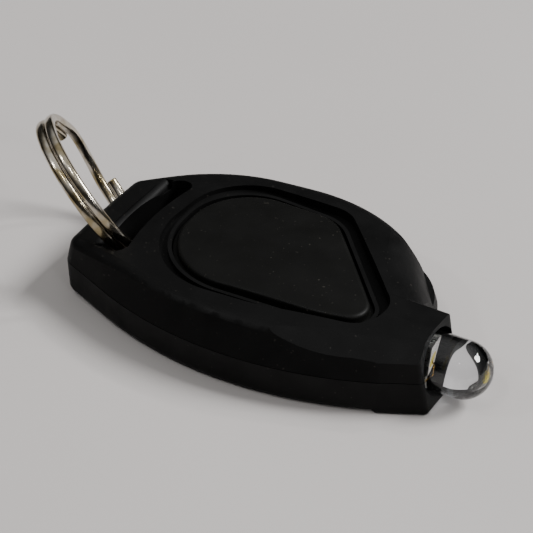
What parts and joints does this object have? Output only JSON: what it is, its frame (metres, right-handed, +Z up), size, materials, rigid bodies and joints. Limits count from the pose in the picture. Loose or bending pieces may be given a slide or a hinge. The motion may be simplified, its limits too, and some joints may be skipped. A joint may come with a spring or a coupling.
{
  "type": "keychain flashlight",
  "caption": "Keychain flashlight: black moulded case with a press button on top, a clear round-nosed LED in the nose and a split ring through the tail slot.",
  "frame": {"origin": "on the flat underside that the light rests on, directly below the LED's axis and midway along the case's length", "axes": "+X along the LED's axis, the way it shines; +Y across the case, to the side that bulges more; +Z up, through the button"},
  "size_m": [0.0469, 0.023, 0.0135],
  "materials": {
    "abs_black": "moulded, fine satin texture",
    "tray_plastic": "moulded",
    "epoxy_clear": "cast, polished clear epoxy",
    "tinned_steel": "tin dipped",
    "led_chip": "diced crystal",
    "led_phosphor": "cast silicone with yellow phosphor",
    "gold_wire": "drawn",
    "spring_bronze": "rolled",
    "foam": "closed-cell foam",
    "nickel_plated_steel": "bright nickel plate",
    "zinc_screw": "zinc plated",
    "cell_steel": "nickel-plated steel can",
    "cell_gasket": "moulded polypropylene",
    "cathode_mix": "pressed powder",
    "separator_felt": "non-woven felt",
    "lithium": "punched foil"
  },
  "bodies": {
    "case": {"battery_tray": "tray_plastic", "contact_strip": "spring_bronze", "foam_ring": "foam", "led_anode_lead": "tinned_steel", "led_bond_wire": "gold_wire", "led_cathode_lead": "tinned_steel", "led_die": "led_chip", "led_lens": "epoxy_clear", "led_phosphor": "led_phosphor", "lower_cell_can": "cell_steel", "lower_cell_cap": "cell_steel", "lower_cell_cathode_pellet": "cathode_mix", "lower_cell_gasket": "cell_gasket", "lower_cell_lithium_disc": "lithium", "lower_cell_separator": "separator_felt", "lower_shell": "abs_black", "shell_screws": "zinc_screw", "upper_cell_can": "cell_steel", "upper_cell_cap": "cell_steel", "upper_cell_cathode_pellet": "cathode_mix", "upper_cell_gasket": "cell_gasket", "upper_cell_lithium_disc": "lithium", "upper_cell_separator": "separator_felt", "upper_shell": "abs_black"},
    "button": {"press_button": "abs_black"},
    "key_ring": {"split_ring": "nickel_plated_steel"}
  },
  "joints": [
    {"name": "button_press", "type": "slide", "parent": "case", "child": "button", "axis": [0, 0, -1], "range_m": [0, 0.0003], "stiffness_N_per_m": 4000, "springref_m": -0.0002, "deforming": ["foam_ring", "contact_strip"]},
    {"name": "ring_swing", "type": "hinge", "parent": "case", "child": "key_ring", "pos_m": [-0.0169, 0.00335, 0.0039], "axis": [0, 1, 0], "range_deg": [-60, 20]}
  ]
}
